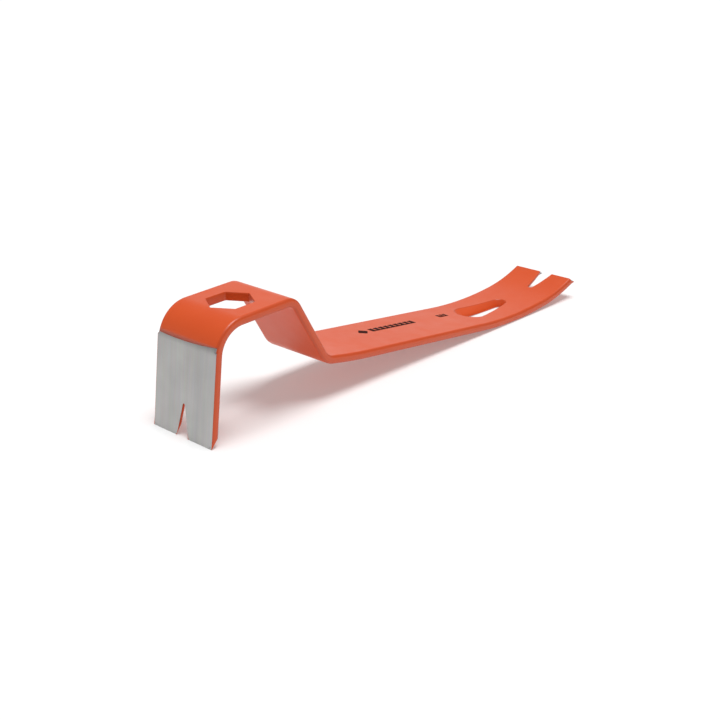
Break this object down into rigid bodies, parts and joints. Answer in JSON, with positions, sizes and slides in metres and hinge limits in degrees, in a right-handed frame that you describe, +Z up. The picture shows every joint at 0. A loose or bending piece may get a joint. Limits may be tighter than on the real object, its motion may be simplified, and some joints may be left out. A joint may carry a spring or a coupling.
{
  "type": "flat pry bar",
  "caption": "Flat pry bar bent from one steel strip: ground chisel leg with a V notch, hex hole in the crest, teardrop nail slot and forked claw.",
  "frame": {"origin": "on the floor, at the middle of the bar's length and width, with the bar resting on the leg's sharp edge and on the belly of the handle", "axes": "+X along the bar from the chisel leg to the forked claw, +Y across the strip, +Z up"},
  "size_m": [0.3162, 0.0444, 0.0639],
  "materials": {
    "ground_steel": "belt-ground, satin, with fine marks along the leg",
    "orange_powder_coat": "semi-gloss powder coat with a faint orange peel",
    "brown_ink": "matt pad-printed ink"
  },
  "bodies": {
    "root": {"steel_bar": "ground_steel", "powder_coat": "orange_powder_coat", "printed_lozenge": "brown_ink", "printed_long_mark": "brown_ink", "printed_short_mark": "brown_ink"}
  },
  "joints": []
}
